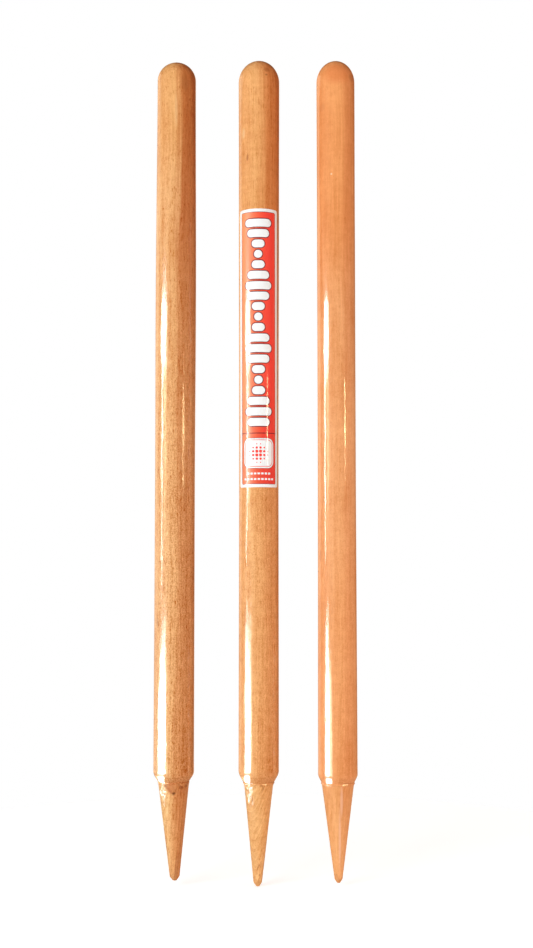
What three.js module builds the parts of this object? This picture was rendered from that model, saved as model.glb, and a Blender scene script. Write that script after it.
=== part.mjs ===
// Cricket stumps: three turned wooden stumps in a row, with a printed label stuck round the middle one.
// Lengths are millimetres and angles are degrees. +Z is up, +X runs along the row to the right, and
// the label faces -Y. The origin is on the middle stump's axis at ground level, where spikes begin.
import * as THREE from 'three';
import { mergeVertices } from 'three/addons/utils/BufferGeometryUtils.js';

// Sizes of each stump. Heights are measured up from ground level, and lengths down from it.
const leftStump = {
  name: 'left_stump',
  axisX: -82.1,
  standingHeight: 709.5,
  domeHeight: 18.4,
  headDiameter: 38.3,
  girthHeight: 470,
  girthDiameter: 40,
  footDiameter: 39.2,
  bevelHeight: 7.6,
  edgeRounding: 2.4,
  ledgeDiameter: 30,
  spikeRootDiameter: 28.9,
  spikeLength: 92.8,
  tipDiameter: 9.4,
  tipBevelLength: 3.4,
  tipFlatDiameter: 3.6,
  tipOffset: 1.4,
  woodColour: '#d39358',
};

const middleStump = {
  name: 'middle_stump',
  axisX: 0,
  standingHeight: 711.2,
  domeHeight: 22,
  headDiameter: 40.7,
  girthHeight: 270,
  girthDiameter: 38.75,
  footDiameter: 39.1,
  bevelHeight: 8.4,
  edgeRounding: 3.4,
  ledgeDiameter: 30.4,
  spikeRootDiameter: 28.6,
  spikeLength: 98.3,
  tipDiameter: 8.4,
  tipBevelLength: 3.6,
  tipFlatDiameter: 3.4,
  tipOffset: -0.9,
  woodColour: '#dd9e62',
};

const rightStump = {
  name: 'right_stump',
  axisX: 76.4,
  standingHeight: 711.2,
  domeHeight: 22,
  headDiameter: 38.1,
  girthHeight: 290,
  girthDiameter: 37.5,
  footDiameter: 38.3,
  bevelHeight: 6.4,
  edgeRounding: 2,
  ledgeDiameter: 33.4,
  spikeRootDiameter: 32.2,
  spikeLength: 95.2,
  tipDiameter: 7.8,
  tipBevelLength: 3.6,
  tipFlatDiameter: 3,
  tipOffset: 0.3,
  woodColour: '#e08f5b',
};

// The label is measured flat, before it is wrapped, and placed down from the middle stump's top.
const label = {
  name: 'label',
  width: 46,
  length: 273,
  dropFromTop: 154.2,
  cornerRadius: 2.6,
  thickness: 0.2,
  gapToWood: 0.3,
  faceTurn: -6,
  tilt: 0.8,
  printColour: '#f4563c',
};

// How finely the round shapes are cut into flat faces
const facetsRound = 48;
const curveSteps = 5;
const labelColumns = 16;
const labelStraightRows = 14;
const labelCornerRows = 4;

// Radius of a stump's barrel at a height, which tapers in two straight runs that meet at the girth
function barrelRadius(stump, height) {
  const domeBase = stump.standingHeight - stump.domeHeight;
  const aboveGirth = height > stump.girthHeight;
  const endHeight = aboveGirth ? domeBase : 0;
  const endDiameter = aboveGirth ? stump.headDiameter : stump.footDiameter;
  const along = (height - stump.girthHeight) / (endHeight - stump.girthHeight);
  return THREE.MathUtils.lerp(stump.girthDiameter, endDiameter, Math.min(along, 1)) / 2;
}

// Half of a stump's outline, from the tip of the spike on the axis to the top of the dome on the axis
function stumpOutline(stump) {
  const { spikeLength, bevelHeight, girthHeight, domeHeight, edgeRounding } = stump;
  const domeBase = stump.standingHeight - domeHeight;
  const bevelFoot = new THREE.Vector2(stump.ledgeDiameter / 2, 0);
  const bevelEdge = new THREE.Vector2(barrelRadius(stump, bevelHeight), bevelHeight);
  const intoBevel = bevelEdge.clone().sub(bevelFoot).setLength(edgeRounding);
  const roundingStart = bevelEdge.clone().sub(intoBevel);
  const roundingEnd = bevelHeight + edgeRounding;

  const outline = new THREE.Path();
  outline.moveTo(0, -spikeLength);
  outline.lineTo(stump.tipFlatDiameter / 2, -spikeLength);
  outline.lineTo(stump.tipDiameter / 2, stump.tipBevelLength - spikeLength);
  outline.lineTo(stump.spikeRootDiameter / 2, 0);
  outline.lineTo(bevelFoot.x, bevelFoot.y);
  outline.lineTo(roundingStart.x, roundingStart.y);
  outline.quadraticCurveTo(bevelEdge.x, bevelEdge.y, barrelRadius(stump, roundingEnd), roundingEnd);
  outline.lineTo(stump.girthDiameter / 2, girthHeight);
  outline.lineTo(stump.headDiameter / 2, domeBase);
  outline.absellipse(0, domeBase, stump.headDiameter / 2, domeHeight, 0, Math.PI / 2, false);

  const points = outline.getPoints(curveSteps);
  points.at(-1).x = 0;
  return points;
}

// One stump, turned about its axis, with its spike leaning so that the tip is a little off that axis
function makeStump(stump) {
  const geometry = new THREE.LatheGeometry(stumpOutline(stump), facetsRound);
  geometry.rotateX(Math.PI / 2);
  const position = geometry.attributes.position;
  for (let i = 0; i < position.count; i += 1) {
    const depth = Math.max(0, -position.getZ(i));
    const lean = (stump.tipOffset * depth) / stump.spikeLength;
    position.setX(i, position.getX(i) + lean);
  }
  geometry.computeVertexNormals();

  const varnishedWood = new THREE.MeshStandardMaterial({
    color: stump.woodColour,
    roughness: 0.3,
    metalness: 0,
  });
  const mesh = new THREE.Mesh(geometry, varnishedWood);
  mesh.name = stump.name;
  mesh.position.x = stump.axisX;
  return mesh;
}

// Where a row of the flat label lies along its length, and how far its ends are drawn in by a corner
function labelRow(row) {
  const lastRow = labelStraightRows + 2 * labelCornerRows;
  const fromEnd = Math.min(row, lastRow - row);
  const side = row < lastRow / 2 ? -1 : 1;
  const cornerCentre = label.length / 2 - label.cornerRadius;
  if (fromEnd < labelCornerRows) {
    const angle = (1 - fromEnd / labelCornerRows) * (Math.PI / 2);
    const along = cornerCentre + label.cornerRadius * Math.sin(angle);
    return { along: side * along, inset: label.cornerRadius * (1 - Math.cos(angle)) };
  }
  const share = (row - labelCornerRows) / labelStraightRows;
  return { along: THREE.MathUtils.lerp(-cornerCentre, cornerCentre, share), inset: 0 };
}

// The label: a thin sheet with round corners, tilted a little and wrapped round the middle stump
function makeLabel() {
  const rows = labelStraightRows + 2 * labelCornerRows;
  const centreHeight = middleStump.standingHeight - label.dropFromTop - label.length / 2;
  const tilt = THREE.MathUtils.degToRad(label.tilt);
  const faceTurn = THREE.MathUtils.degToRad(label.faceTurn);

  const sheet = new THREE.BoxGeometry(1, 1, 1, labelColumns, 1, rows);
  sheet.deleteAttribute('normal');
  sheet.deleteAttribute('uv');
  const geometry = mergeVertices(sheet);
  const position = geometry.attributes.position;
  for (let i = 0; i < position.count; i += 1) {
    const { along, inset } = labelRow(Math.round((position.getZ(i) + 1 / 2) * rows));
    const across = position.getX(i) * (label.width - 2 * inset);
    const outward = (1 / 2 - position.getY(i)) * label.thickness;
    const height = centreHeight + along * Math.cos(tilt) + across * Math.sin(tilt);
    const wood = barrelRadius(middleStump, height);
    const turn = faceTurn + (across * Math.cos(tilt) - along * Math.sin(tilt)) / wood;
    const radius = wood + label.gapToWood + outward;
    position.setXYZ(i, radius * Math.sin(turn), -radius * Math.cos(turn), height);
  }
  geometry.computeVertexNormals();

  const printedFilm = new THREE.MeshStandardMaterial({
    color: label.printColour,
    roughness: 0.35,
    metalness: 0,
  });
  const mesh = new THREE.Mesh(geometry, printedFilm);
  mesh.name = label.name;
  mesh.position.x = middleStump.axisX;
  return mesh;
}

const cricketStumps = new THREE.Group();
for (const stump of [leftStump, middleStump, rightStump]) {
  cricketStumps.add(makeStump(stump));
}
cricketStumps.add(makeLabel());

export default cricketStumps;
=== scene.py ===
# Cricket stumps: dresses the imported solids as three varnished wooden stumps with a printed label.
# Lengths in the tables are millimetres and angles are degrees. Heights are measured up from ground
# level, and a turn runs round a stump from its front, towards the right of the row.
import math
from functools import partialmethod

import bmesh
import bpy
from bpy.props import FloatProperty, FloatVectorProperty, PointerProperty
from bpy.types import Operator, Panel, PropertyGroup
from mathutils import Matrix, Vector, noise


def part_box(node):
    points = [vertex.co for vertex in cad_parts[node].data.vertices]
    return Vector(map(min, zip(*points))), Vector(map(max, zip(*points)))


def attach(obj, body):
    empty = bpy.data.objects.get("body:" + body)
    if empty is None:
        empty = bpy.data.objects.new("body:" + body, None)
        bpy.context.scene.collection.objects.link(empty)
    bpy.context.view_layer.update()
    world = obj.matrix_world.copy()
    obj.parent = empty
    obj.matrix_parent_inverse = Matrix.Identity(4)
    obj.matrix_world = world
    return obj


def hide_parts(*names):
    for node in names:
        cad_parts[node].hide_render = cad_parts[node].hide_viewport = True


bl_info = {
    "name": "Cricket Stumps",
    "version": (1, 0, 0),
    "blender": (4, 5, 0),
    "location": "3D Viewport > Sidebar > Stumps",
    "description": "Builds three turned wooden cricket stumps with a printed label on the middle one",
    "category": "Add Mesh",
}

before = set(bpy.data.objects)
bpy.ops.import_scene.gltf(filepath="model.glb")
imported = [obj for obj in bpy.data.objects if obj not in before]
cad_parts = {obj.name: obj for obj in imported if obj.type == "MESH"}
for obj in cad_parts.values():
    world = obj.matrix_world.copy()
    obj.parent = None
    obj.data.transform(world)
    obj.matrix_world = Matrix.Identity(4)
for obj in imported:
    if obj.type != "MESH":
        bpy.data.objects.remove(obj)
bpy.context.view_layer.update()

MM = 0.001
SIDES = ("left", "middle", "right")

# What each length of a stump means, and its size on the left, middle and right stump
STUMP_LENGTHS = {
    "dome_height": ("How tall the rounded head is", 18.4, 22.0, 22.0),
    "head_diameter": ("Thickness where the dome meets the barrel", 38.3, 40.7, 38.1),
    "chest_diameter": ("Thickness at the upper swell of the barrel", 40.0, 40.1, 37.7),
    "waist_diameter": ("Thickness at the narrow stretch of the barrel", 39.1, 38.75, 37.4),
    "foot_diameter": ("Thickness just above the bevel", 39.2, 39.1, 38.2),
    "bevel_height": ("Height where the bevel meets the barrel", 8.2, 8.6, 6.4),
    "edge_rounding": ("How far the bevel's upper edge is rounded", 2.6, 3.4, 1.8),
    "lip_height": ("Height of the crease between the bevel and the lip", 1.2, 0.6, 0.5),
    "lip_depth": ("How far below ground level the lip reaches", 0.0, 0.7, 1.4),
    "ledge_diameter": ("Thickness of the lip that overhangs the spike", 30.6, 30.5, 32.8),
    "spike_root_diameter": ("Thickness of the spike under the lip", 29.8, 28.4, 31.5),
    "tip_diameter": ("Thickness of the spike where the tip is cut", 9.4, 8.4, 7.8),
    "tip_bevel_length": ("Length of the cut at the tip", 3.4, 3.6, 3.6),
    "tip_flat_diameter": ("Width of the blunt end", 3.8, 3.4, 3.0),
}

# How high on each barrel its waist and its chest lie
BARREL_PLACES = {"left": (290, 470), "middle": (320, 590), "right": (320, 560)}

# How far each spike's tip leans to the right of its stump's axis
TIP_LEANS = {"left": 1.4, "middle": -0.9, "right": 0.3}

# Flats that a knife or a saw left on the spikes: turn of the flat, depth below ground where it
# begins, and how deep it has cut into the cone at the very tip
SPIKE_FLATS = {
    "left": [(46, 56, 1.9), (-58, 86, 1.2), (140, 70, 0.9), (80, 88.5, 2.2)],
    "middle": [(74, 62, 0.7), (-38, 88, 1.2), (12, 92, 1.5), (-150, 72, 0.8)],
    "right": [(-30, 86, 1.2), (58, 89, 1.3), (150, 66, 0.8)],
}

# Slivers that the lathe tool left standing on the spike below the lip: turns of its two ends, turn of
# its point, how far down the point reaches, how far it stands out, and how dark its torn edge is
LIP_SLIVERS = {
    "left": [(-31, 21, 4, 10, 0.55, 0.7), (22, 48, 38, 3.4, 0.35, 0.7), (50, 76, 60, 2.8, 0.3, 0.7)],
    "middle": [(8, 27, 17, 2.6, 0.4, 0.5), (-72, -46, -62, 3.4, 0.4, 0.5), (-42, -16, -30, 2.4, 0.4, 0.5)],
    "right": [(-70, -44, -60, 2.6, 0.25, 0.3)],
}

# Rough patches on the spikes: turn and depth of the middle, half widths in turn and depth, height
ROUGH_PATCHES = {
    "left": [(-48, 10, 24, 14, 0.75), (30, 6, 34, 5, 0.6), (-8, 88, 60, 8, 0.5)],
    "middle": [(-42, 9, 32, 12, 0.9), (12, 14, 20, 14, 0.2), (14, 82, 36, 15, 0.8)],
    "right": [(12, 92, 50, 5, 0.6)],
}

# Painted shade in the crease above each lip, as a dark line: turns of the two ends of a stretch, and its
# darkness
LIP_CREASE_SHADE = {
    "left": [(-90, -24, 0.3), (20, 96, 0.9), (130, 230, 0.5)],
    "middle": [(-84, -14, 0.6), (36, 80, 0.35), (120, 200, 0.5)],
    "right": [(-60, -18, 0.45), (10, 70, 0.35), (110, 240, 0.4)],
}

# Flat nicks in the lip: turn and upward lean of the flat, and how deep it is
LIP_NICKS = {"left": [], "middle": [(25.1, 12.4, 0.13)], "right": [(22.9, 12.6, 0.26)]}

# How far the face of the lip leans back, so that it faces up a little
LIP_LEAN = math.radians(12.2)

# How many rings each stretch of a stump's outline makes, and how many points a ring has
RINGS = {"cone": 54, "root": 24, "lip": 4, "bevel": 6, "edge": 8, "barrel": 110, "dome": 20}
POINTS_ROUND = 176

# How far below ground level the finely ringed root of a spike reaches
ROOT_LENGTH = 12 * MM

# How sharply two faces have to meet for the edge between them to be shaded sharp
SHARP_WOOD = math.radians(24)
SHARP_FILM = math.radians(40)


def length(name, description, millimetres):
    """A length setting, whose default is given in millimetres."""
    return FloatProperty(
        name=name, description=description, default=millimetres * MM, min=0, precision=5, unit="LENGTH"
    )


def colour(name, description, value):
    """A colour setting."""
    return FloatVectorProperty(
        name=name, description=description, default=value, size=3, min=0, max=1, subtype="COLOR"
    )


def share(name, description, value, highest=1.0):
    """A setting without a unit, from nothing upwards."""
    return FloatProperty(name=name, description=description, default=value, min=0, max=highest)


def stump_settings(side, pale, heart_and_shade):
    """The settings of one stump, with its own sizes and wood colours as defaults."""
    fields = {}
    for key, (description, *sizes) in STUMP_LENGTHS.items():
        name = key.replace("_", " ").capitalize()
        fields[key] = length(name, description, sizes[SIDES.index(side)])
    # The pale colour is partly painted light on the front left, and the redder one partly painted shade
    # towards the right
    fields["pale_wood"] = colour("Pale wood", "Colour of the paler wood on the front left", pale)
    fields["heart_wood"] = colour("Heart wood", "Colour of the redder wood towards the right", heart_and_shade)
    return type(f"{side.title()}StumpSettings", (PropertyGroup,), {"__annotations__": fields})


LeftStumpSettings = stump_settings("left", (0.78, 0.36, 0.124), (0.565, 0.163, 0.042))
MiddleStumpSettings = stump_settings("middle", (0.84, 0.385, 0.135), (0.68, 0.205, 0.054))
RightStumpSettings = stump_settings("right", (0.87, 0.325, 0.107), (0.81, 0.27, 0.086))


class VarnishSettings(PropertyGroup):
    """The finish that all three stumps share."""

    gloss_roughness: share("Gloss roughness", "How much the varnish blurs what it mirrors", 0.05)
    under_roughness: share("Wood roughness", "Roughness of the wood under the varnish", 0.5)
    ripple: length("Ripple", "Height of the long ripples in the varnish", 0.05)


class LabelSettings(PropertyGroup):
    """The printed label and its place on the middle stump."""

    width: length("Width", "Width of the flat label", 44.6)
    height: length("Height", "Height of the label", 273)
    drop: length("Drop", "How far below the stump's top the label begins", 154.2)
    corner: length("Corner radius", "Radius of the label's corners", 2.6)
    thickness: length("Thickness", "Thickness of the printed film", 0.14)
    glue: length("Glue line", "Thickness of the glue under the film", 0.05)
    face_turn: FloatProperty(
        name="Turn", description="How far the label faces round from the front",
        default=math.radians(-1.2), subtype="ANGLE",
    )
    tilt: FloatProperty(
        name="Tilt", description="How far the label is stuck on crooked",
        default=math.radians(0.2), subtype="ANGLE",
    )
    # Painted light: the field turns orange towards its left edge, where the light is stronger
    left_ink: colour("Left ink", "Colour of the field at its left edge", (1.0, 0.33, 0.12))
    right_ink: colour("Right ink", "Colour of the field at its right edge", (1.0, 0.058, 0.038))
    white_ink: colour("White", "Colour of the border and the motifs", (0.96, 0.96, 0.96))
    line_ink: colour("Line ink", "Colour of the thin outlines", (0.2, 0.012, 0.02))


class StudioSettings(PropertyGroup):
    """Floor, background, lamps and camera."""

    floor_radius: length("Floor radius", "Radius of the round floor", 520)
    fill: share("Fill", "Strength of the soft light from all round", 0.39, 5)
    key: share("Key", "Brightness of the large soft lamp at the left", 5.7, 1000)
    right_fill: share("Right fill", "Brightness of the soft lamp at the right", 3.4, 1000)
    back_fill: share("Back fill", "Brightness of the soft lamp behind the set", 1.6, 1000)
    glint: share("Glint", "Brightness of the lamps that the varnish mirrors", 20, 1000)
    focal_length: FloatProperty(
        name="Focal length", description="Focal length on a frame 36 mm long", default=51.27, min=1
    )


class StumpSetSettings(PropertyGroup):
    """All settings of the set."""

    left: PointerProperty(type=LeftStumpSettings)
    middle: PointerProperty(type=MiddleStumpSettings)
    right: PointerProperty(type=RightStumpSettings)
    varnish: PointerProperty(type=VarnishSettings)
    label: PointerProperty(type=LabelSettings)
    studio: PointerProperty(type=StudioSettings)


def chosen():
    """The settings of the set, as they are now."""
    return bpy.context.scene.stump_set


def blend(low, high, value):
    """0 at low, 1 at high and a smooth change in between."""
    t = min(max((value - low) / (high - low), 0), 1)
    return t * t * (3 - 2 * t)


def turn_of(point):
    """How far round a stump a point lies from its front, in degrees."""
    return math.degrees(math.atan2(point.x, -point.y))


def facing(angle):
    """The level direction at an angle, in radians, from the front."""
    return Vector((math.sin(angle), -math.cos(angle), 0))


def off_axis(point):
    """The level direction in which a point lies from the axis."""
    return Vector((point.x, point.y, 0)).normalized()


class StumpShape:
    """The measures of one stump, in metres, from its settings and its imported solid."""

    def __init__(self, side):
        self.side = side
        self.sizes = getattr(chosen(), side)
        low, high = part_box(f"{side}_stump")
        self.axis = Vector(((low.x + high.x) / 2, 0, 0))
        self.top = high.z
        self.spike_length = -low.z
        self.cone_length = self.spike_length - self.sizes.tip_bevel_length

    def barrel_radius(self, height):
        """Radius of the barrel at a height, swelling and narrowing smoothly."""
        s = self.sizes
        waist, chest = BARREL_PLACES[self.side]
        places = [
            (0, s.foot_diameter),
            (waist * MM, s.waist_diameter),
            (chest * MM, s.chest_diameter),
            (self.top - s.dome_height, s.head_diameter),
        ]
        for (low, below), (high, above) in zip(places, places[1:]):
            if height <= high or high == places[-1][0]:
                return (below + (above - below) * blend(low, high, height)) / 2

    def skin_radius(self, height):
        """Radius of the stump's skin at any height, from the spike to the dome."""
        dome_base = self.top - self.sizes.dome_height
        if height > dome_base:
            rise = min((height - dome_base) / self.sizes.dome_height, 1)
            return self.sizes.head_diameter / 2 * math.sqrt(1 - rise * rise)
        return self.barrel_radius(height) if height > 0 else self.spike_radius(-height)

    def spike_radius(self, depth):
        """Radius of the spike at a depth below ground, with the hollow curve under the lip."""
        s = self.sizes
        narrowing = (s.tip_diameter - s.spike_root_diameter) * depth / self.cone_length
        curve_length = 5 * MM
        curve_share = 0.7
        curve = (s.ledge_diameter - s.spike_root_diameter) * curve_share
        return (s.spike_root_diameter + narrowing + curve * max(1 - depth / curve_length, 0) ** 2) / 2

    def outline(self):
        """Radius and height of the outline's points, from the tip up to the top of the dome."""
        s = self.sizes
        ledge = s.ledge_diameter / 2
        underside = 0.1 * MM - s.lip_depth
        slope, inset, crease = 0.15 * MM, 0.04 * MM, 0.2 * MM
        points = [(0, -self.spike_length), (s.tip_flat_diameter / 2, -self.spike_length)]
        for first, last, rings in (
            (self.cone_length, ROOT_LENGTH, RINGS["cone"]),
            (ROOT_LENGTH, 0, RINGS["root"]),
        ):
            for step in range(rings):
                depth = first + (last - first) * step / rings
                if -depth < underside - 0.2 * MM:
                    points.append((self.spike_radius(depth), -depth))

        points.append((self.spike_radius(s.lip_depth), underside - slope))
        points.append((ledge - inset, underside))
        for step in range(1, RINGS["lip"] + 1):
            rise = (s.lip_height - underside) * step / RINGS["lip"]
            points.append((ledge - rise * math.tan(LIP_LEAN), underside + rise))
        points.append((points[-1][0], s.lip_height + crease))

        foot = Vector((ledge, s.lip_height + 2 * crease))
        edge = Vector((self.barrel_radius(s.bevel_height), s.bevel_height))
        start = edge - (edge - foot).normalized() * s.edge_rounding
        rounded_to = s.bevel_height + s.edge_rounding
        end = Vector((self.barrel_radius(rounded_to), rounded_to))
        for step in range(RINGS["bevel"]):
            points.append(tuple(foot.lerp(start, step / RINGS["bevel"])))
        for step in range(RINGS["edge"] + 1):
            t = step / RINGS["edge"]
            points.append(tuple(start.lerp(edge, t).lerp(edge.lerp(end, t), t)))

        dome_base = self.top - s.dome_height
        for step in range(1, RINGS["barrel"] + 1):
            height = end.y + (dome_base - end.y) * step / RINGS["barrel"]
            points.append((self.barrel_radius(height), height))
        for step in range(1, RINGS["dome"]):
            angle = math.pi / 2 * step / RINGS["dome"]
            radius = s.head_diameter / 2 * math.cos(angle)
            points.append((radius, dome_base + s.dome_height * math.sin(angle)))
        points.append((0, self.top))
        return points


def turned_solid(points):
    """A closed solid of the outline, spun round the Z axis as a lathe would turn it."""
    bm = bmesh.new()
    verts = [bm.verts.new((radius, 0, height)) for radius, height in points]
    for a, b in zip(verts, verts[1:]):
        bm.edges.new((a, b))
    bmesh.ops.spin(
        bm, geom=bm.verts[:] + bm.edges[:], cent=(0, 0, 0), axis=(0, 0, 1),
        angle=math.tau, steps=POINTS_ROUND, use_merge=True,
    )
    bmesh.ops.remove_doubles(bm, verts=bm.verts, dist=1e-6)
    bmesh.ops.recalc_face_normals(bm, faces=bm.faces)
    return bm


def raise_sliver(bm, scar_and_shade, sliver):
    """Leaves a pointed sliver of torn wood hanging from the lip."""
    first, last, point, reach, height, darkness = sliver
    wander, fineness, softness, thinning = 4, 700, 3.5, 0.3
    for vert in bm.verts:
        depth = -vert.co.z
        if not -0.3 * MM < depth < (reach + 1) * MM:
            continue
        turn = turn_of(vert.co)
        down = max(depth, 0) / (reach * MM)
        jag = wander * noise.noise(vert.co * fineness)
        from_left = turn - first - (point - first) * down + jag
        from_right = last + (point - last) * down - turn + jag
        lift = blend(0, softness, min(from_left, from_right)) * (1 - thinning * min(down, 1))
        vert.co += off_axis(vert.co) * height * MM * lift
        torn = blend(-reach, -1, from_left) * blend(reach, 1, from_left) * blend(-5, 0, from_right)
        vert[scar_and_shade] = max(vert[scar_and_shade], darkness * torn)


def roughen(bm, scar_and_shade, patch):
    """Breaks up a patch of the spike's surface, as a blunt lathe tool does."""
    turn, depth, turn_reach, depth_reach, height = patch
    across, along, darkening = 620, 340, 0.6
    for vert in bm.verts:
        if vert.co.z > 0.5 * MM:
            continue
        down = (-vert.co.z / MM - depth) / depth_reach
        off = math.hypot((turn_of(vert.co) - turn) / turn_reach, down)
        if off < 1:
            grain = Vector((vert.co.x * across, vert.co.y * across, vert.co.z * along))
            rise = noise.noise(grain) * (1 - off * off)
            vert.co += off_axis(vert.co) * height * MM * rise
            vert[scar_and_shade] = max(vert[scar_and_shade], blend(0.03, 0.3, -rise) * height * darkening)


def paint_lip_crease_shade(bm, scar_and_shade, shape):
    """Paints shade into the crease above the lip, as a broken dark line."""
    half_width, fading, fineness = 0.5 * MM, 6, 180
    for vert in bm.verts:
        off = abs(vert.co.z - shape.sizes.lip_height) / half_width
        if off < 1 and vert.co.xy.length > MM:
            turn = turn_of(vert.co)
            if turn < -90:
                turn += 360
            spot = Vector((vert.co.x * fineness, vert.co.y * fineness, shape.axis.x * 900))
            broken = 0.8 + 0.6 * noise.noise(spot)
            for first, last, darkness in LIP_CREASE_SHADE[shape.side]:
                ends = blend(first, first + fading, turn) * blend(last, last - fading, turn)
                vert[scar_and_shade] = max(vert[scar_and_shade], broken * ends * darkness * (1 - off * off))


def nick_lip(bm, shape, nick):
    """Presses a small flat into the face of the lip."""
    turn, lean, depth = nick
    angle, rise = math.radians(turn), math.radians(lean)
    outward = facing(angle) * math.cos(rise)
    outward.z = math.sin(rise)
    lip_bottom = -shape.sizes.lip_depth
    reach = facing(angle) * (shape.sizes.ledge_diameter / 2 - depth * MM)
    reach.z = lip_bottom
    widest_turn = 40
    for vert in bm.verts:
        if lip_bottom - 0.2 * MM < vert.co.z <= shape.sizes.lip_height + 0.05 * MM:
            beyond = (vert.co - reach).dot(outward)
            if beyond > 0 and abs(turn_of(vert.co) - turn) < widest_turn:
                vert.co -= outward * beyond


def cut_flat(bm, scar_and_shade, shape, flat):
    """Pares a flat on the spike, from a depth down to the tip, with a line of painted shade along its
    edges.
    """
    turn, start, cut = flat
    outward = facing(math.radians(turn))
    top = outward * shape.spike_radius(start * MM)
    top.z = -start * MM
    tip = outward * (shape.spike_radius(shape.spike_length) - cut * MM)
    tip.z = -shape.spike_length
    run = (top - tip).normalized()
    normal = (outward - run * outward.dot(run)).normalized()
    below = [f for f in bm.faces if f.calc_center_median().z < 0]
    geometry = dict.fromkeys(g for f in below for g in (f, *f.edges, *f.verts))
    cut_part = bmesh.ops.bisect_plane(
        bm, geom=list(geometry), plane_co=top, plane_no=normal, clear_outer=True, dist=1e-7
    )
    edges = [g for g in cut_part["geom_cut"] if isinstance(g, bmesh.types.BMEdge)]
    bmesh.ops.holes_fill(bm, edges=edges, sides=0)
    # Painted shade: a dark line along the flat's edges, where the ridge turns from a lit face to a shaded
    # one
    edge_shade = 0.2
    for edge in edges:
        for vert in edge.verts:
            vert[scar_and_shade] = edge_shade


def ripple(bm, seed):
    """Gives the barrel the unevenness of a hand-sanded one, never thicker than it was."""
    lowest, deepest = 12 * MM, 0.11 * MM
    across, along = 22, 9
    for vert in bm.verts:
        x, y, z = vert.co
        if z > lowest and math.hypot(x, y) > MM:
            spot = Vector((x * across, y * across, z * along + seed))
            vert.co -= off_axis(vert.co) * deepest * (0.5 + 0.5 * noise.noise(spot))


def finish_mesh(name, bm, sharp_angle=math.pi):
    """Makes an object of a bmesh, smooth except along its sharp edges."""
    bmesh.ops.recalc_face_normals(bm, faces=bm.faces)
    for face in bm.faces:
        face.smooth = True
    for edge in bm.edges:
        if edge.calc_face_angle(0) > sharp_angle:
            edge.smooth = False
    mesh = bpy.data.meshes.new(name)
    bm.to_mesh(mesh)
    bm.free()
    piece = bpy.data.objects.new(name, mesh)
    bpy.context.scene.collection.objects.link(piece)
    return piece


def turn_stump(side):
    """Turns one stump, from dome to spike, in one piece of wood."""
    shape = StumpShape(side)
    bm = turned_solid(shape.outline())
    scar_and_shade = bm.verts.layers.float.new("scar_and_shade")
    paint_lip_crease_shade(bm, scar_and_shade, shape)
    for sliver in LIP_SLIVERS[side]:
        raise_sliver(bm, scar_and_shade, sliver)
    for patch in ROUGH_PATCHES[side]:
        roughen(bm, scar_and_shade, patch)
    for nick in LIP_NICKS[side]:
        nick_lip(bm, shape, nick)
    ripple(bm, shape.axis.x * 500)
    for flat in SPIKE_FLATS[side]:
        cut_flat(bm, scar_and_shade, shape, flat)
    lean = Matrix.Identity(4)
    lean[0][2] = -TIP_LEANS[side] * MM / shape.spike_length
    below_ground = [v for v in bm.verts if v.co.z < 0]
    bmesh.ops.transform(bm, matrix=lean, verts=below_ground)
    bmesh.ops.translate(bm, vec=shape.axis, verts=bm.verts)
    stump = finish_mesh(f"{side}_turned_stump", bm, SHARP_WOOD)
    stump.data.materials.append(wood_material(side, shape))
    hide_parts(f"{side}_stump")
    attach(stump, side)


class Graph:
    """Adds nodes to one node tree and links them."""

    def __init__(self, tree):
        self.tree = tree

    def fill(self, node, inputs):
        """Links or sets inputs of a node, which are given by name or number."""
        for key, value in inputs.items():
            if isinstance(value, bpy.types.NodeSocket):
                self.tree.links.new(value, node.inputs[key])
            else:
                node.inputs[key].default_value = value

    def add(self, kind, inputs=None, **settings):
        """Adds a node."""
        node = self.tree.nodes.new(kind)
        for key, value in settings.items():
            setattr(node, key, value)
        self.fill(node, inputs or {})
        return node

    def math(self, operation, *values):
        """The result of a Math node."""
        return self.add("ShaderNodeMath", dict(enumerate(values)), operation=operation).outputs[0]

    plus = partialmethod(math, "ADD")
    minus = partialmethod(math, "SUBTRACT")
    times = partialmethod(math, "MULTIPLY")
    times_plus = partialmethod(math, "MULTIPLY_ADD")

    def vector(self, operation, *values):
        """The result of a Vector Math node."""
        return self.add("ShaderNodeVectorMath", dict(enumerate(values)), operation=operation).outputs[0]

    def split(self, vector):
        """The three coordinates of a vector."""
        return self.add("ShaderNodeSeparateXYZ", {0: vector}).outputs

    def place(self, vector, scale=(1, 1, 1), shift=(0, 0, 0)):
        """A vector after it is scaled and then shifted."""
        inputs = {"Vector": vector, "Scale": scale, "Location": shift}
        return self.add("ShaderNodeMapping", inputs).outputs[0]

    def noise(self, vector, spacing, detail=2.0, roughness=0.5, output=0):
        """Noise whose features are about as large as spacing, in the vector's own unit."""
        spread = self.place(vector, scale=[1 / s for s in spacing])
        inputs = {"Vector": spread, "Scale": 1.0, "Detail": detail, "Roughness": roughness}
        return self.add("ShaderNodeTexNoise", inputs).outputs[output]

    def smooth(self, value, low, high, start=0.0, end=1.0):
        """A smooth step of a value from low to high."""
        inputs = {"Value": value, "From Min": low, "From Max": high, "To Min": start, "To Max": end}
        return self.add("ShaderNodeMapRange", inputs, interpolation_type="SMOOTHSTEP").outputs[0]

    def mix(self, factor, a, b):
        """A mix of two colours, which are sockets or plain values."""
        colours = [v if isinstance(v, bpy.types.NodeSocket) else (*v, 1) for v in (a, b)]
        inputs = {0: factor, 6: colours[0], 7: colours[1]}
        return self.add("ShaderNodeMix", data_type="RGBA", inputs=inputs).outputs[2]

    def bump(self, height):
        """The normal of a surface whose relief has a height in millimetres."""
        return self.add("ShaderNodeBump", {"Height": height, "Distance": MM}).outputs[0]


def new_material(name):
    """A material with its graph and its Principled shader."""
    material = bpy.data.materials.new(name)
    material.use_nodes = True
    return material, Graph(material.node_tree), material.node_tree.nodes["Principled BSDF"]


WHITE = (1.0, 1.0, 1.0)
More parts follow.
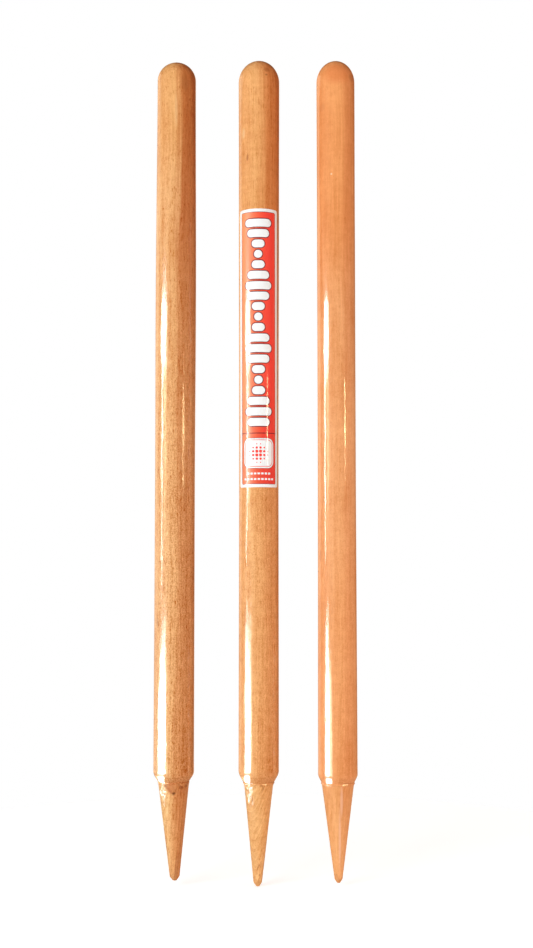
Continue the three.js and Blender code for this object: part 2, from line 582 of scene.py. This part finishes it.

# Marks drawn over each stump's wood: turn, height, half width, half height, colour and strength. The pale
# glint high on the middle stump's left and the pale band down the right spike are painted highlights;
# the others are darker or paler patches.
WOOD_MARKS_AND_HIGHLIGHTS = {
    "left": [
        (28, 684, 3.5, 9, (0.42, 0.13, 0.035), 0.5),
        (-52, 154, 1.2, 5, (0.35, 0.12, 0.04), 0.45),
        (2, 655, 1.5, 16, (0.95, 0.6, 0.3), 0.35),
        (-6, -2.6, 5, 5.6, (0.58, 0.19, 0.062), 0.75),
        (8, -8.4, 1.6, 1.2, (0.12, 0.03, 0.006), 0.8),
        (36, -3.4, 2.2, 1.5, (0.28, 0.06, 0.014), 0.7),
        (58, -2.6, 1.7, 1.2, (0.28, 0.06, 0.014), 0.6),
    ],
    "middle": [
        (25, 697, 3.4, 2.4, (0.46, 0.12, 0.03), 0.6),
        (22, 691.5, 1.2, 1.0, (0.32, 0.09, 0.03), 0.6),
        (-34, 609, 1.1, 3.4, (0.4, 0.12, 0.035), 0.7),
        # Painted highlight: a pale glint on the middle stump's upper left
        (-48, 634, 1.6, 5, (1.0, 0.68, 0.36), 0.5),
        (28, -4, 0.6, 5, (0.3, 0.07, 0.015), 0.6),
    ],
    "right": [
        (-16, 592, 0.9, 0.9, (1.0, 0.8, 0.56), 0.7),
        (-62, 218, 1.3, 6, (0.5, 0.14, 0.05), 0.4),
        (-48, 660, 3, 4, (0.74, 0.26, 0.09), 0.5),
        (2, 694, 12, 11, (0.8, 0.2, 0.055), 0.5),
        (54, 691, 3.4, 4, (0.5, 0.14, 0.04), 0.5),
        # Painted reflection: these two pale marks make a pale band down the front of the right spike
        (13, -16, 1.3, 17, (0.98, 0.58, 0.42), 0.45),
        (8, -52, 1.1, 30, (0.98, 0.58, 0.42), 0.45),
    ],
}

# How the wood of the left, middle and right stump is figured. The redder wood towards the right is partly
# heartwood and partly painted shade on the side away from the key light, and the paler wood on the front
# left is partly painted light. The redder wood begins heart_shade_at to the right of the axis and takes
# heart_shade_soft to come in, more fully between the heights of heart_shade_fade. The pith lies outside
# the stump. Then come the strengths of the figure, from coarse to fine, and of the varnish's ripples. A
# pinker blush comes in between the heights of blush_top, and falls to a share between those of
# blush_foot. The spike's colour runs from spike_lit_left to spike_shaded_right, which paints light on its
# left side and shade on its right, and its grain slants by spike_slant.
WOOD_FIGURE = {
    "heart_shade_at": (4.5, 4, 8),
    "heart_shade_soft": (11, 18, 8),
    "heart_shade_wander": (14, 12, 7),
    "heart_shade_fade": ((380, 590), (330, 660), (100, 700)),
    "heart_shade_least": (0.58, 0.45, 0.6),
    "pith": ((70, 26), (58, 48), (84, 30)),
    "clouds": (0.5, 0.45, 0.6),
    "rings": (0.12, 0.1, 0.05),
    "bands": (0.6, 0.45, 0.45),
    "streaks": (0.6, 0.45, 0.35),
    "mottle": (0.4, 0.4, 0.3),
    "curl": (0.12, 0.22, 0.08),
    "fibre": (0.7, 0.5, 0.35),
    "sand": (1.1, 0.8, 0.45),
    "rough_foot": (1.8, 1.4, 1.3),
    "pores": (0.45, 0.3, 0.12),
    "ripples": (1.0, 0.9, 0.7),
    "blush": ((1.05, 1.13, 1.32), (1.03, 1.07, 1.15), (1.04, 1.22, 1.52)),
    "blush_top": ((650, 560), (340, 270), (560, 440)),
    "blush_foot": ((60, 200, 0.75), (20, 80, 0.9), (120, 320, 0.5)),
    "spike_lit_left": ((1.14, 1.36, 1.45), (1.12, 1.42, 1.6), (1.03, 1.15, 1.18)),
    "spike_shaded_right": ((0.97, 0.88, 0.78), (1.13, 1.28, 1.3), (0.97, 1.0, 0.98)),
    "spike_slant": (0.05, 0.4, 0.0),
}

# Colour of torn and roughened wood where the surface is scarred, and of the painted shade in the crease
# above the lip and along the edges of the spike's flats
SCAR_AND_SHADE_COLOUR = (0.36, 0.085, 0.02)


def stack(g, layers):
    """Adds up layers of noise, each taken about nought and times its strength."""
    total = 0.0
    for layer, strength in layers:
        total = g.times_plus(g.minus(layer, 0.5), strength, total)
    return total


def wood_figure(g, own, grain, height, figure):
    """How much darker the wood is than its ground colour, in all and in the fibres alone."""
    pith_x, pith_y = figure["pith"]
    rings = g.add(
        "ShaderNodeTexWave",
        {
            "Vector": g.place(grain, shift=(-pith_x, -pith_y, 0)),
            "Scale": 0.105, "Distortion": 2.6, "Detail": 2.0, "Detail Scale": 0.5,
        },
        wave_type="RINGS", rings_direction="Z", wave_profile="SAW",
    ).outputs[1]
    coarse = stack(g, [
        (g.noise(grain, (26, 26, 80), detail=1), figure["clouds"]),
        (rings, g.smooth(height, 4, -8, figure["rings"], figure["rings"] * 2.2)),
        (g.noise(grain, (4.6, 4.6, 260)), figure["bands"]),
        (g.noise(grain, (1.7, 1.7, 70), roughness=0.6), figure["streaks"]),
        (g.noise(own, (7, 7, 6), roughness=0.6), figure["mottle"]),
        (g.noise(own, (13, 13, 3.2), detail=1), figure["curl"]),
    ])
    fine = stack(g, [
        (g.noise(grain, (0.75, 0.75, 12), detail=3, roughness=0.65), figure["fibre"]),
        (g.noise(own, (1.0, 1.0, 1.4), roughness=0.7), figure["sand"]),
    ])
    rough = g.smooth(height, 600, 330, 0.62, figure["rough_foot"])
    rough = g.times(rough, g.smooth(height, 4, -6, 1.0, 0.5))
    return g.times_plus(fine, rough, coarse), fine


def wood_pores(g, grain):
    """1 in the open pores of the wood, 0 elsewhere."""
    pore = g.smooth(g.noise(grain, (0.8, 0.8, 5.5), detail=1), 0.62, 0.72)
    fleck = g.smooth(g.noise(grain, (1.7, 1.7, 12), detail=1), 0.66, 0.75, 0, 0.8)
    return g.math("MAXIMUM", pore, fleck)


def darken(g, tone, amount):
    """Darkens a wood colour as a dye does: blue goes first and red last."""
    factor = g.vector("MULTIPLY_ADD", amount, (-0.52, -1.0, -1.5), (1, 1, 1))
    return g.vector("MULTIPLY", tone, g.vector("MAXIMUM", factor, (0.05, 0.05, 0.05)))


def mark_wood_and_highlights(g, tone, place, shape):
    """Draws the marks of a stump over the tone of its wood."""
    for turn, height, half_width, half_height, mark_colour, strength in WOOD_MARKS_AND_HIGHLIGHTS[shape.side]:
        radius = shape.skin_radius(height * MM) / MM
        angle = math.radians(turn)
        spot = (radius * math.sin(angle), -radius * math.cos(angle), height)
        half_depth = max(half_width * 2.5, half_height * 0.3)
        offset = g.vector("SUBTRACT", place, spot)
        scaled = g.vector("DIVIDE", offset, (half_width * 1.4, half_depth, half_height * 1.4))
        away = g.add("ShaderNodeVectorMath", {0: scaled}, operation="LENGTH").outputs["Value"]
        tone = g.mix(g.smooth(away, 1.0, 0.35, 0, strength), tone, mark_colour)
    return tone


def wood_material(side, shape):
    """Solid figured wood under a clear varnish, laid out round the stump's own axis, with painted light on
    its left side and painted shade on its right.
    """
    varnish = chosen().varnish
    figure = {key: values[SIDES.index(side)] for key, values in WOOD_FIGURE.items()}
    material, g, shader = new_material(f"varnished_{side}_wood")
    position = g.add("ShaderNodeTexCoord").outputs["Object"]
    own = g.place(position, scale=(1 / MM,) * 3, shift=(-shape.axis.x / MM, 0, 0))
    right, _, height = g.split(own)
    wander = g.vector("SUBTRACT", g.noise(own, (38, 38, 150), output="Color"), (0.5, 0.5, 0.5))
    slant = g.times(g.math("MINIMUM", height, 0.0), -figure["spike_slant"])
    slant = g.add("ShaderNodeCombineXYZ", {0: slant}).outputs[0]
    grain = g.vector("MULTIPLY_ADD", wander, (9, 9, 0), g.vector("ADD", own, slant))

    grain_right, grain_back, _ = g.split(grain)
    streak = g.noise(grain, (2.6, 2.6, 170), detail=3, roughness=0.55)
    edge = g.times_plus(g.minus(streak, 0.5), figure["heart_shade_wander"], grain_right)
    edge = g.times_plus(grain_back, 0.3, edge)
    fade = g.smooth(height, *figure["heart_shade_fade"], figure["heart_shade_least"])
    drift = 6.0
    edge = g.times_plus(g.minus(1.0, fade), drift, edge)
    start, half_soft = figure["heart_shade_at"] - drift, figure["heart_shade_soft"] / 2
    # Painted shade: the redder wood comes in towards the right, away from the key light, as well as being
    # heartwood; the paler side is partly painted light
    heart_and_shade = g.smooth(edge, start - half_soft, start + half_soft)
    heart_and_shade = g.times(heart_and_shade, fade)
    tone = g.mix(heart_and_shade, shape.sizes.pale_wood, shape.sizes.heart_wood)
    blush = g.smooth(height, *figure["blush_top"])
    blush = g.times(blush, g.smooth(height, *figure["blush_foot"], 1.0))
    tone = g.vector("MULTIPLY", tone, g.mix(blush, WHITE, figure["blush"]))
    # Painted light and shade on the spike: besides its own tone, its colour is paler on the left than on
    # the right
    spike_tone_and_light = g.mix(g.smooth(right, -5, 8), figure["spike_lit_left"], figure["spike_shaded_right"])
    tone = g.vector("MULTIPLY", tone, g.mix(g.smooth(height, 2, -3), WHITE, spike_tone_and_light))

    darkness, fine = wood_figure(g, own, grain, height, figure)
    pores = wood_pores(g, grain)
    tone = darken(g, tone, g.times_plus(pores, figure["pores"], darkness))
    scar_and_shade = g.add("ShaderNodeAttribute", attribute_name="scar_and_shade").outputs["Fac"]
    tone = g.mix(scar_and_shade, tone, SCAR_AND_SHADE_COLOUR)
    tone = mark_wood_and_highlights(g, tone, g.vector("MULTIPLY_ADD", wander, (-7, -7, 0), grain), shape)

    relief = g.times(g.plus(fine, g.times(pores, 0.5)), -0.11)
    film = 0.0
    ripples = figure["ripples"] * varnish.ripple / (0.05 * MM)
    for spacing, depth in (((14, 14, 50), 0.5), ((4, 4, 20), 0.14), ((1.1, 1.1, 4.5), 0.06)):
        film = g.times_plus(g.noise(own, spacing, detail=1), depth * ripples, film)
    film = g.times_plus(fine, 0.042, film)
    g.fill(shader, {
        "Base Color": tone,
        "Roughness": g.times_plus(fine, 0.3, varnish.under_roughness),
        "Specular IOR Level": 0.06,
        "Coat Weight": 1.0,
        "Coat Roughness": varnish.gloss_roughness,
        "Coat IOR": 1.5,
        "Normal": g.bump(relief),
        "Coat Normal": g.bump(film),
    })
    return material


def cut_label():
    """The label as a flat sheet with round corners: across on X, along on Y and its face up."""
    label = chosen().label
    bm = bmesh.new()
    bmesh.ops.create_grid(bm, x_segments=1, y_segments=1, size=0.5)
    bmesh.ops.scale(bm, vec=(label.width, label.height, 1), verts=bm.verts)
    bmesh.ops.bevel(
        bm, geom=bm.verts[:], offset=label.corner, offset_type="OFFSET", segments=6,
        profile=0.5, affect="VERTICES", material=-1,
    )
    for axis, size, parts in (((1, 0, 0), label.width, 40), ((0, 1, 0), label.height, 90)):
        for step in range(1, parts):
            place = Vector(axis) * (size * (step / parts - 0.5))
            geometry = bm.verts[:] + bm.edges[:] + bm.faces[:]
            bmesh.ops.bisect_plane(bm, geom=geometry, plane_co=place, plane_no=axis)
    front = bmesh.ops.extrude_face_region(bm, geom=bm.faces[:])
    raised = [g for g in front["geom"] if isinstance(g, bmesh.types.BMVert)]
    bmesh.ops.translate(bm, vec=(0, 0, label.thickness), verts=raised)
    return bm


def stick_label():
    """Cuts the label, lays out its print and wraps it round the middle stump."""
    label = chosen().label
    shape = StumpShape("middle")
    bm = cut_label()
    layout = bm.loops.layers.uv.new("print")
    for face in bm.faces:
        for loop in face.loops:
            place = loop.vert.co
            loop[layout].uv = (place.x / label.width + 0.5, place.y / label.height + 0.5)

    centre = shape.top - label.drop - label.height / 2
    level, steep = math.cos(label.tilt), math.sin(label.tilt)
    for vert in bm.verts:
        across, along, outward = vert.co
        height = centre + along * level + across * steep
        wood = shape.barrel_radius(height)
        turn = label.face_turn + (across * level - along * steep) / wood
        radius = wood + label.glue + outward
        vert.co = (radius * math.sin(turn), -radius * math.cos(turn), height)
    bmesh.ops.translate(bm, vec=shape.axis, verts=bm.verts)
    film = finish_mesh("printed_label", bm, SHARP_FILM)
    film.data.materials.append(label_material())
    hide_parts("label")
    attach(film, "middle")


# The label's print, with heights from its middle. A dash row has a height and half a length.
SIDE_BORDER, END_BORDER, FIELD_CORNER = 3.6, 3.0, 1.6
DIVIDER_HEIGHT = -84.0
BARS, BAR_PITCH, FIRST_BAR, BAR_RADIUS = 20, 10.3, 122.5, 3.9
PLATE_HEIGHT, PLATE_HALF_SIZE, PLATE_CORNER = -103.5, (15.5, 14.5), 6.5
DOT_PITCH, DOTS_REACH = 3.6, 10.0
DASH_PITCH, DASH_HALF_SIZE, DASH_CORNER = 3.5, (1.2, 0.95), 0.5
DASH_ROWS = ((-123.2, 12.0), (-128.6, 15.5))


def label_material():
    """Glossy printed film: white border, red field that turns orange towards its left as painted light,
    white motifs with thin dark outlines.
    """
    label = chosen().label
    material, g, shader = new_material("printed_film")
    width, height = label.width / MM, label.height / MM
    white, line, red = label.white_ink, label.line_ink, label.right_ink
    flat = g.add("ShaderNodeUVMap", uv_map="print").outputs[0]
    flat = g.place(flat, scale=(width, height, 1), shift=(-width / 2, -height / 2, 0))
    x, y, _ = g.split(flat)

    def covers(distance, edge=0.0):
        """1 where a distance is under edge, changing over a fifth of a millimetre."""
        return g.smooth(distance, edge + 0.1, edge - 0.1)

    def away(px, py):
        """Distance of a place from nought."""
        return g.math("SQRT", g.plus(g.times(px, px), g.times(py, py)))

    def box(px, py, half_size, radius):
        """Distance from a box with round corners."""
        beyond = []
        for place, half in zip((px, py), half_size):
            past = g.minus(g.math("ABSOLUTE", place), g.minus(half, radius))
            beyond.append(g.math("MAXIMUM", past, 0.0))
        return g.minus(away(*beyond), radius)

    field = box(x, y, (width / 2 - SIDE_BORDER, height / 2 - END_BORDER), FIELD_CORNER)
    # Painted light: the field is oranger on its left, where the light is stronger
    ink = g.mix(g.smooth(x, -21, 11), label.left_ink, red)
    ink = g.mix(g.smooth(y, -20, -120, 0, 0.3), ink, (0.62, 0.012, 0.016))
    inside = covers(field, -0.5)
    tone = g.mix(inside, g.mix(covers(field), white, line), ink)
    divider = g.math("ABSOLUTE", g.minus(y, DIVIDER_HEIGHT))
    layers = [(line, covers(divider, 0.4), inside)]

    place = g.math("DIVIDE", g.minus(FIRST_BAR, y), BAR_PITCH)
    bar = g.math("FLOOR", g.plus(place, 0.5))
    bar_y = g.times(g.minus(place, bar), BAR_PITCH)
    swell = g.math("COSINE", g.times(bar, math.tau / 6))
    half_bar = g.times_plus(swell, 4.7, 8.7)
    motif = box(x, bar_y, (half_bar, BAR_RADIUS), BAR_RADIUS)
    in_rows = g.math("COMPARE", bar, (BARS - 1) / 2, BARS / 2)
    layers += [(line, covers(motif, 0.9), in_rows), (white, covers(motif), in_rows)]

    plate_y = g.minus(y, PLATE_HEIGHT)
    plate = box(x, plate_y, PLATE_HALF_SIZE, PLATE_CORNER)
    inner_line = g.math("ABSOLUTE", g.plus(plate, 1.6))
    layers += [(line, covers(plate, 0.4), 1), (white, covers(plate), 1), (ink, covers(inner_line, 0.3), 1)]
    dots = []
    for place in (x, plate_y):
        cell = g.math("FLOOR", g.math("DIVIDE", place, DOT_PITCH))
        dots.append(g.times_plus(cell, DOT_PITCH, DOT_PITCH / 2))
    reach = away(*dots)
    dot = away(g.minus(x, dots[0]), g.minus(plate_y, dots[1]))
    dot = g.minus(dot, g.smooth(reach, 2, 12, 1.55, 0.3))
    layers += [(red, covers(dot), g.math("LESS_THAN", reach, DOTS_REACH))]

    half_pitch = DASH_PITCH / 2
    for row_y, half_length in DASH_ROWS:
        dash_x = g.math("FLOORED_MODULO", g.plus(x, half_pitch), DASH_PITCH)
        dash_x = g.minus(dash_x, half_pitch)
        dash = box(dash_x, g.minus(y, row_y), DASH_HALF_SIZE, DASH_CORNER)
        within = g.math("LESS_THAN", g.math("ABSOLUTE", x), half_length)
        layers += [(white, covers(dash), within)]
    for layer, cover, within in layers:
        tone = g.mix(g.times(cover, within), tone, layer)

    scuff = g.noise(flat, (5, 9, 1), detail=3, roughness=0.6)
    creases = g.noise(flat, (7, 24, 1), detail=3, roughness=0.6)
    surface = g.bump(g.times(creases, 0.2))
    g.fill(shader, {
        "Base Color": tone,
        "Roughness": g.times_plus(scuff, 0.2, 0.3),
        "Specular IOR Level": 0.3,
        "Coat Weight": 0.6,
        "Coat Roughness": chosen().varnish.gloss_roughness,
        "Coat IOR": 1.5,
        "Normal": surface,
        "Coat Normal": surface,
    })
    return material


def seen_directly(g):
    """1 for what the camera sees by itself, mirrored or through glass, and 0 for soft light."""
    path = g.add("ShaderNodeLightPath")
    rays = [path.outputs[name] for name in ("Is Camera Ray", "Is Glossy Ray", "Is Transmission Ray")]
    return g.math("MAXIMUM", g.math("MAXIMUM", rays[0], rays[1]), rays[2])


def disc(radius, segments, height):
    """A flat disc at a height."""
    bm = bmesh.new()
    bmesh.ops.create_circle(bm, cap_ends=True, radius=radius, segments=segments)
    bmesh.ops.translate(bm, vec=(0, 0, height), verts=bm.verts)
    return bm


def lowest_tip():
    """Height of the lowest spike's tip."""
    return min(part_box(f"{side}_stump")[0].z for side in SIDES)


def lay_floor():
    """A round pale floor just under the tips of the spikes."""
    bm = disc(chosen().studio.floor_radius, 96, lowest_tip() - 0.4 * MM)
    floor = finish_mesh("studio_floor", bm)
    material, g, shader = new_material("pale_floor")
    nodes = material.node_tree.nodes
    nodes.remove(shader)
    paint = g.add("ShaderNodeBsdfDiffuse", {"Color": (0.8, 0.8, 0.8, 1)})
    glow = g.add("ShaderNodeEmission", {"Strength": g.times(seen_directly(g), 0.54)})
    both = g.add("ShaderNodeAddShader", {0: paint.outputs[0], 1: glow.outputs[0]})
    g.fill(nodes["Material Output"], {"Surface": both.outputs[0]})
    floor.data.materials.append(material)


def light_world():
    """White behind the object, and a softer warm light from all round."""
    world = bpy.data.worlds.new("white_studio")
    bpy.context.scene.world = world
    world.use_nodes = True
    nodes = world.node_tree.nodes
    g = Graph(world.node_tree)
    soft = nodes["Background"]
    g.fill(soft, {"Color": (1.0, 0.92, 0.86, 1), "Strength": chosen().studio.fill})
    white = g.add("ShaderNodeBackground", {"Color": (*WHITE, 1), "Strength": 1.0})
    both = g.add("ShaderNodeMixShader", {0: seen_directly(g), 1: soft.outputs[0], 2: white.outputs[0]})
    g.fill(nodes["World Output"], {"Surface": both.outputs[0]})


def hang_lamp(name, azimuth, low, high, width, brightness, tint, distance=2.0, mirrored=True):
    """A flat lamp at an azimuth, which shows in the varnish or else lights the wood softly."""
    lamp = bpy.data.lights.new(name, "AREA")
    lamp.shape = "ELLIPSE" if mirrored else "RECTANGLE"
    lamp.size = width
    lamp.size_y = high - low
    lamp.energy = brightness * math.pi * width * (high - low)
    lamp.color = tint
    holder = bpy.data.objects.new(name, lamp)
    bpy.context.scene.collection.objects.link(holder)
    angle = math.radians(azimuth)
    holder.location = (distance * math.sin(angle), -distance * math.cos(angle), (low + high) / 2)
    holder.rotation_euler = (math.pi / 2, 0, angle)
    holder.visible_camera = False
    holder.visible_glossy = mirrored
    holder.visible_diffuse = not mirrored
    holder.visible_transmission = mirrored
    return holder


# Azimuth 0 is the camera's side, and plus is to its right.
# Lamps that light the wood softly: name, setting of the brightness, azimuth, lowest and highest point
# and width in metres, tint, and distance
SOFT_LAMPS = [
    ("soft_key", "key", -40, -0.1, 1.5, 1.5, (0.9, 0.97, 1.0), 2.2),
    ("soft_right", "right_fill", 75, -0.1, 0.5, 1.4, (1.0, 0.95, 0.9), 1.3),
    ("soft_back", "back_fill", 178, -0.1, 1.1, 1.6, (1.0, 0.97, 0.93), 2.2),
]

PALE_TINT = (1.0, 0.98, 0.92)

# Oval windows that the varnish mirrors: stumps that mirror each, azimuth, lowest and highest point,
# and width in metres, share of the glint's brightness, and tint
GLINT_LAMPS = [
    ("upper_window_left", "left", -67, 0.68, 0.885, 1.5, 1.0, WHITE),
    ("upper_window", "middle right", -66, 0.68, 0.885, 1.3, 1.0, WHITE),
    ("upper_haze", "left middle right", -68, 0.78, 0.96, 1.1, 0.05, (1.0, 0.9, 0.8)),
    ("middle_window", "middle", -70, 0.3, 0.86, 0.3, 1.0, WHITE),
    ("middle_window_left", "left", -78, 0.3, 0.86, 0.36, 0.8, PALE_TINT),
    ("middle_window_right", "right", -77, 0.3, 0.86, 0.33, 0.9, PALE_TINT),
    ("narrow_window_left", "left", -74, 0.155, 0.3, 0.24, 1.0, WHITE),
    ("narrow_window", "middle right", -74, 0.235, 0.3, 0.24, 1.0, WHITE),
    ("lower_peak_left", "left", -52, -0.5, 0.06, 0.45, 1.0, PALE_TINT),
    ("lower_peak", "middle", -50, -0.5, 0.09, 0.3, 1.0, PALE_TINT),
    ("lower_peak_right", "right", -58, -0.5, 0.1, 0.6, 0.8, PALE_TINT),
    ("lower_step_left", "left", -61, -0.6, 0.04, 1.1, 1.0, WHITE),
    ("lower_window_left", "left", -73, -0.8, 0.02, 2.1, 1.0, WHITE),
    ("lower_window", "middle", -71, -0.8, 0.075, 1.8, 1.0, WHITE),
    ("lower_window_right", "right", -68, -0.8, 0.08, 1.1, 1.0, WHITE),
    ("upper_curtain", "left middle right", -58, 0.3, 0.86, 0.5, 0.3, (1.0, 0.84, 0.5)),
    ("lower_curtain", "left middle", -42, -0.7, 0.03, 0.3, 0.33, (1.0, 0.84, 0.55)),
    ("lower_curtain_right", "right", -43, -0.8, 0.0, 0.75, 0.6, (1.0, 0.9, 0.66)),
    ("right_window", "left middle right", 50, 0.455, 0.66, 0.2, 1.5, (1.0, 0.8, 0.42)),
]

# Oval sheets of light that the bevels and their edges mirror, and fainter ones for the rough spikes:
# stump, what is lit, place of the middle from the stump's axis, turn, length and width in
# millimetres, share of the glint's brightness, and the angle within which the sheet shines
GLEAM_LAMPS = [
    ("left", "bevel", (-32.6, -19.8, -0.3), 30, 56, 19, 1.0, 128),
    ("middle", "bevel", (-32.4, -21.3, -1.0), 34, 56, 18, 1.0, 128),
    ("right", "bevel", (-27.0, -27.0, -1.9), 41, 52, 14, 1.0, 128),
    ("left", "edge", (-380, -109, -98.4), 16, 290, 420, 0.4, 180),
    ("middle", "edge", (-373, -129, -98.4), 19, 290, 380, 0.4, 180),
    ("right", "edge", (-366, -148, -98.4), 22, 290, 250, 0.4, 180),
    ("left", "spike", (-55, -6, -25.4), 14, 52, 20, 0.2, 180),
    ("middle", "spike", (-56.2, -21.3, -25.4), 26, 52, 20, 0.6, 180),
]


def shine_only_on(lamp, sides):
    """Lets a lamp shine only on some stumps and on what is stuck to them."""
    lit = bpy.data.collections.new(f"{lamp.name}_shines_on")
    for side in sides:
        lit.objects.link(bpy.data.objects[f"{side}_turned_stump"])
    if "middle" in sides:
        lit.objects.link(bpy.data.objects["printed_label"])
    lamp.light_linking.receiver_collection = lit


def light_stumps():
    """Hangs the lamps that light the wood, and those that show in the varnish."""
    studio = chosen().studio
    for name, setting, azimuth, low, high, width, tint, distance in SOFT_LAMPS:
        hang_lamp(name, azimuth, low, high, width, getattr(studio, setting), tint, distance, False)
    for name, sides, azimuth, low, high, width, strength, tint in GLINT_LAMPS:
        window = hang_lamp(name, azimuth, low, high, width, studio.glint * strength, tint)
        if len(sides.split()) < len(SIDES):
            shine_only_on(window, sides.split())
    for side, part, place, turn, size, width, strength, spread in GLEAM_LAMPS:
        name, brightness = f"{side}_{part}_gleam", studio.glint * strength
        gleam = hang_lamp(name, 0, 0, width * MM, size * MM, brightness, WHITE)
        gleam.data.spread = math.radians(spread)
        gleam.location = StumpShape(side).axis + Vector(place) * MM
        gleam.rotation_euler = (math.pi, 0, math.radians(turn))
        shine_only_on(gleam, [side])


# Cloths that stand round the set: azimuth of the two ends, colour, and how much each glows
BLACK, TAN, CREAM = (0.03, 0.025, 0.02), (0.6, 0.36, 0.2), (0.9, 0.72, 0.55)
STANDING_CLOTHS = [
    ("black_cloth", -44, 157, BLACK, 0),
    ("tan_cloth", 157, 215, TAN, 0.9),
    ("cream_cloth", 215, 255, CREAM, 1.0),
    ("brown_cloth", 255, 316, TAN, 0.4),
]


def hang_cloth(name, bm, tone, glow):
    """Hangs a cloth that only the varnish mirrors."""
    cloth = finish_mesh(name, bm)
    material, g, shader = new_material(f"{name}_weave")
    g.fill(shader, {
        "Base Color": (*tone, 1), "Roughness": 1.0, "Emission Color": (*tone, 1), "Emission Strength": glow,
    })
    cloth.data.materials.append(material)
    cloth.visible_camera = False
    cloth.visible_diffuse = False
    cloth.visible_shadow = False


def hang_cloths():
    """Hangs cloths round and over the set, so that the varnish mirrors a dim room."""
    radius, low, high = 2.6, -1.2, 2.2
    for name, first, last, tone, glow in STANDING_CLOTHS:
        bm = bmesh.new()
        level = facing(math.radians(first)) * radius
        foot, head = (bm.verts.new((level.x, level.y, height)) for height in (low, high))
        edge = bm.edges.new((foot, head))
        bmesh.ops.spin(
            bm, geom=[foot, head, edge], cent=(0, 0, 0), axis=(0, 0, 1),
            angle=math.radians(last - first), steps=24,
        )
        hang_cloth(name, bm, tone, glow)
    hang_cloth("top_cloth", disc(radius, 48, high), BLACK, 0)
    floor_cloth = disc(chosen().studio.floor_radius, 48, lowest_tip() - 0.2 * MM)
    hang_cloth("floor_cloth", floor_cloth, TAN, 0.35)


# Where the camera stands, in metres, and how far it is tipped up
CAMERA_PLACE = (0.0075, -1.320, 0.2083)
CAMERA_TIP = math.radians(3.89)


def place_camera():
    """The photograph's camera, low in front of the row and tipped up a little."""
    lens = bpy.data.cameras.new("front_camera")
    lens.sensor_width = 36
    lens.lens = chosen().studio.focal_length
    lens.clip_start = 0.05
    lens.clip_end = 50
    camera = bpy.data.objects.new("front_camera", lens)
    bpy.context.scene.collection.objects.link(camera)
    camera.location = CAMERA_PLACE
    camera.rotation_euler = (math.pi / 2 + CAMERA_TIP, 0, 0)
    bpy.context.scene.camera = camera


class SCENE_OT_set_studio(Operator):
    """Puts up the camera, the floor, the background and the lamps"""

    bl_idname = "scene.set_stump_studio"
    bl_label = "Set Up Studio"

    def execute(self, context):
        place_camera()
        lay_floor()
        light_world()
        light_stumps()
        hang_cloths()
        context.scene.view_settings.view_transform = "Standard"
        return {"FINISHED"}


class MESH_OT_turn_stumps(Operator):
    """Turns the three stumps and varnishes them"""

    bl_idname = "mesh.turn_stumps"
    bl_label = "Turn Stumps"

    def execute(self, context):
        for side in SIDES:
            turn_stump(side)
        return {"FINISHED"}


class MESH_OT_stick_label(Operator):
    """Wraps the printed label round the middle stump"""

    bl_idname = "mesh.stick_stump_label"
    bl_label = "Stick Label"

    def execute(self, context):
        stick_label()
        return {"FINISHED"}


class VIEW3D_PT_stumps(Panel):
    """Lists the steps that build the set, and their main settings"""

    bl_idname = "VIEW3D_PT_stumps"
    bl_label = "Cricket Stumps"
    bl_space_type = "VIEW_3D"
    bl_region_type = "UI"
    bl_category = "Stumps"

    def draw(self, context):
        column = self.layout.column()
        for step in (MESH_OT_turn_stumps, MESH_OT_stick_label, SCENE_OT_set_studio):
            column.operator(step.bl_idname)
        for name in StumpSetSettings.__annotations__:
            group = getattr(context.scene.stump_set, name)
            box = self.layout.box()
            for key in group.__annotations__:
                box.prop(group, key)


CLASSES = (
    LeftStumpSettings, MiddleStumpSettings, RightStumpSettings, VarnishSettings, LabelSettings,
    StudioSettings, StumpSetSettings, MESH_OT_turn_stumps, MESH_OT_stick_label,
    SCENE_OT_set_studio, VIEW3D_PT_stumps,
)


def register():
    """Registers the classes and the settings of the set."""
    for cls in CLASSES:
        bpy.utils.register_class(cls)
    bpy.types.Scene.stump_set = PointerProperty(type=StumpSetSettings)


def unregister():
    """Takes away what register added."""
    del bpy.types.Scene.stump_set
    for cls in reversed(CLASSES):
        bpy.utils.unregister_class(cls)


def main():
    """Builds the set."""
    register()
    bpy.ops.mesh.turn_stumps()
    bpy.ops.mesh.stick_stump_label()
    bpy.ops.scene.set_stump_studio()


if __name__ == "__main__":
    main()
